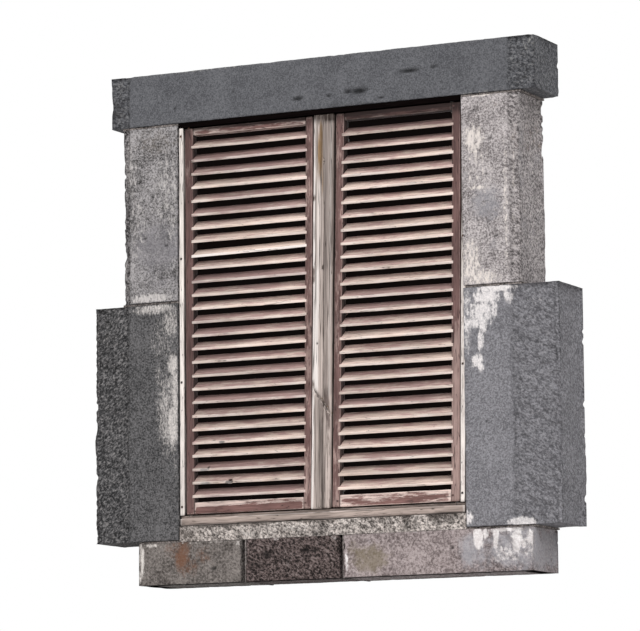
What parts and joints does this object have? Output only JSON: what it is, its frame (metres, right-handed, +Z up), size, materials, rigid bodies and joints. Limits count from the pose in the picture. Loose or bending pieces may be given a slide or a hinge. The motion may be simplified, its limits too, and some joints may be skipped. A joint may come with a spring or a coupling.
{
  "type": "louvred window shutters",
  "caption": "Pair of louvred wooden shutter leaves on iron pivots in a timber frame with a centre post, set in a dressed stone surround with lintel and sill.",
  "frame": {"origin": "under the sill, in the middle of the opening, on the plane of the stone faces", "axes": "+X to the right seen from outside, +Y into the wall, +Z up"},
  "size_m": [1.766, 0.222, 1.7889],
  "materials": {
    "lintel_stone": "fine-pitted dark basalt, dressed face",
    "pale_stone": "basalt smeared with lime, granular",
    "dark_stone": "dark basalt with tooled tail and lime streaks",
    "grey_sill_stone": "weathered grey stone with a rust stain",
    "brown_sill_stone": "dark reddish-brown stone",
    "pink_sill_stone": "pinkish-grey stone with lime marks",
    "mortar": "coarse lime mortar",
    "frame_wood": "pale grey weathered timber",
    "bare_wood": "bare grey timber, cracked",
    "leaf_wood": "mauve-brown paint, worn thin",
    "slat_wood": "faded mauve-brown paint, worn to the wood",
    "iron": "black iron with brown rust"
  },
  "bodies": {
    "surround": {"lintel": "lintel_stone", "left_upper_jamb_stone": "pale_stone", "right_upper_jamb_stone": "pale_stone", "left_lower_jamb_stone": "dark_stone", "right_lower_jamb_stone": "dark_stone", "left_sill_stone": "grey_sill_stone", "middle_sill_stone": "brown_sill_stone", "right_sill_stone": "pink_sill_stone", "mortar_bed": "mortar", "mortar_joints": "mortar", "frame_head": "frame_wood", "frame_sill": "frame_wood", "frame_left_jamb": "frame_wood", "frame_right_jamb": "frame_wood", "centre_post": "bare_wood", "frame_nails": "iron", "left_pivot_bushes": "iron", "right_pivot_bushes": "iron"},
    "left_leaf": {"left_hanging_stile": "leaf_wood", "left_meeting_stile": "leaf_wood", "left_top_rail": "leaf_wood", "left_bottom_rail": "leaf_wood", "left_slats": "slat_wood", "left_pegs": "leaf_wood", "left_pivot_pins": "iron", "left_knob": "iron", "left_bottom_bolt_plate": "iron", "left_top_bolt_plate": "iron", "left_bolt_nails": "iron"},
    "left_bottom_bolt": {"left_bottom_bolt": "iron"},
    "left_top_bolt": {"left_top_bolt": "iron"},
    "right_leaf": {"right_hanging_stile": "leaf_wood", "right_meeting_stile": "leaf_wood", "right_top_rail": "leaf_wood", "right_bottom_rail": "leaf_wood", "right_slats": "slat_wood", "right_pegs": "leaf_wood", "right_pivot_pins": "iron", "right_knob": "iron", "right_bottom_bolt_plate": "iron", "right_top_bolt_plate": "iron", "right_bolt_nails": "iron"},
    "right_bottom_bolt": {"right_bottom_bolt": "iron"},
    "right_top_bolt": {"right_top_bolt": "iron"}
  },
  "joints": [
    {"name": "left_leaf_swing", "type": "hinge", "parent": "surround", "child": "left_leaf", "pos_m": [-0.503, 0.019, 0.24], "axis": [0, 0, -1], "range_deg": [0, 105]},
    {"name": "right_leaf_swing", "type": "hinge", "parent": "surround", "child": "right_leaf", "pos_m": [0.503, 0.019, 0.24], "axis": [0, 0, 1], "range_deg": [0, 105]},
    {"name": "left_bottom_bolt_slide", "type": "slide", "parent": "left_leaf", "child": "left_bottom_bolt", "axis": [0, 0, -1], "range_m": [0, 0.018]},
    {"name": "left_top_bolt_slide", "type": "slide", "parent": "left_leaf", "child": "left_top_bolt", "axis": [0, 0, 1], "range_m": [0, 0.018]},
    {"name": "right_bottom_bolt_slide", "type": "slide", "parent": "right_leaf", "child": "right_bottom_bolt", "axis": [0, 0, -1], "range_m": [0, 0.018]},
    {"name": "right_top_bolt_slide", "type": "slide", "parent": "right_leaf", "child": "right_top_bolt", "axis": [0, 0, 1], "range_m": [0, 0.018]}
  ]
}
